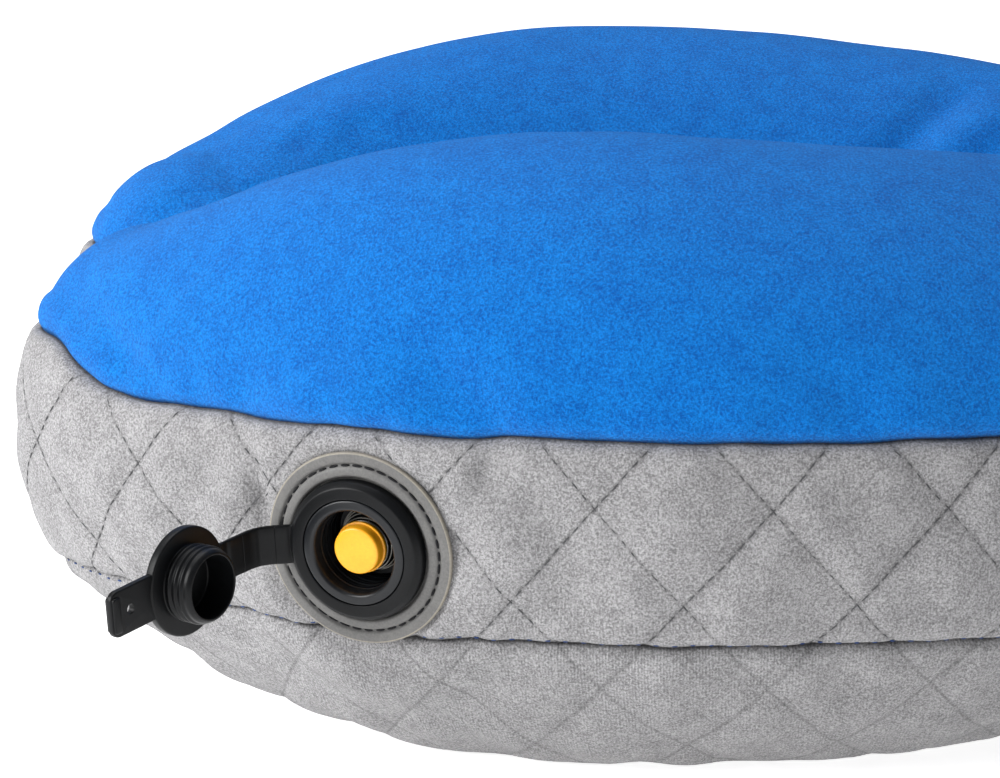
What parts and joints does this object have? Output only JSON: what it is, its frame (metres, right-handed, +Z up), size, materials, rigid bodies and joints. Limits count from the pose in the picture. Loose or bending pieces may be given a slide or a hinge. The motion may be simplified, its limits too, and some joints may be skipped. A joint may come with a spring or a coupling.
{
  "type": "inflatable neck pillow",
  "caption": "U-shaped inflatable camp pillow: brushed top panel, quilted padded side band and bottom, push-to-release air valve and a plug cap on a hinged tether.",
  "frame": {"origin": "on the resting face, under the centre of the whole outline (bounding box bottom centre)", "axes": "+Z up when the pillow lies flat; +X from the arm tips to the closed end; the valve is on the -Y arm"},
  "size_m": [0.309, 0.2772, 0.12],
  "materials": {
    "brushed_blue_fabric": "brushed stretch pile fabric, bright blue",
    "grey_quilted_knit": "light grey melange knit, diamond quilted",
    "polyester_wadding": "white needled wadding",
    "tpu_film": "translucent welded film",
    "grey_tpu": "moulded grey flange, matt",
    "black_plastic": "moulded black, satin",
    "black_rubber": "moulded soft black rubber",
    "yellow_plastic": "moulded yellow, semi-gloss",
    "spring_steel": "bright drawn wire"
  },
  "bodies": {
    "root": {"bladder_lower_film": "tpu_film", "bladder_upper_film": "tpu_film", "bottom_panel_wadding": "polyester_wadding", "cover_bottom_panel": "grey_quilted_knit", "cover_side_band": "grey_quilted_knit", "cover_top_panel": "brushed_blue_fabric", "return_spring": "spring_steel", "side_band_wadding": "polyester_wadding", "snap_socket": "black_plastic", "snap_socket_washer": "black_plastic", "snap_stud": "black_plastic", "snap_stud_washer": "black_plastic", "tether_ring": "black_rubber", "valve_flange": "grey_tpu", "valve_housing": "black_plastic", "valve_seat_insert": "black_plastic"},
    "button": {"deflate_button": "yellow_plastic", "seal_disc": "black_rubber", "seal_backing_plate": "black_plastic"},
    "tether_inner": {"tether_inner_length": "black_rubber"},
    "tether_outer": {"tether_outer_length": "black_rubber"},
    "cap": {"valve_cap": "black_rubber"}
  },
  "joints": [
    {"name": "tether_root", "type": "hinge", "parent": "root", "child": "tether_inner", "pos_m": [-0.10068, -0.10285, 0.04755], "axis": [-0.0496, -0.1117, 0.9925], "range_deg": [-29, 20]},
    {"name": "tether_fold", "type": "hinge", "parent": "tether_inner", "child": "tether_outer", "pos_m": [-0.10706, -0.10317, 0.0472], "axis": [-0.0496, -0.1117, 0.9925], "range_deg": [-75, 110.6]},
    {"name": "cap_hinge", "type": "hinge", "parent": "tether_outer", "child": "cap", "pos_m": [-0.11257, -0.10995, 0.04616], "axis": [-0.0496, -0.1117, 0.9925], "range_deg": [-14, 20.1]},
    {"name": "button_push", "type": "slide", "parent": "root", "child": "button", "axis": [0.4032, 0.9069, 0.1222], "range_m": [0, 0.003], "stiffness_N_per_m": 500, "springref_m": -0.002, "deforming": ["return_spring"]}
  ],
  "couplings": [
    {"joint": "tether_root", "follows": "tether_fold", "ratio": -0.2598},
    {"joint": "cap_hinge", "follows": "tether_fold", "ratio": 0.1812}
  ]
}
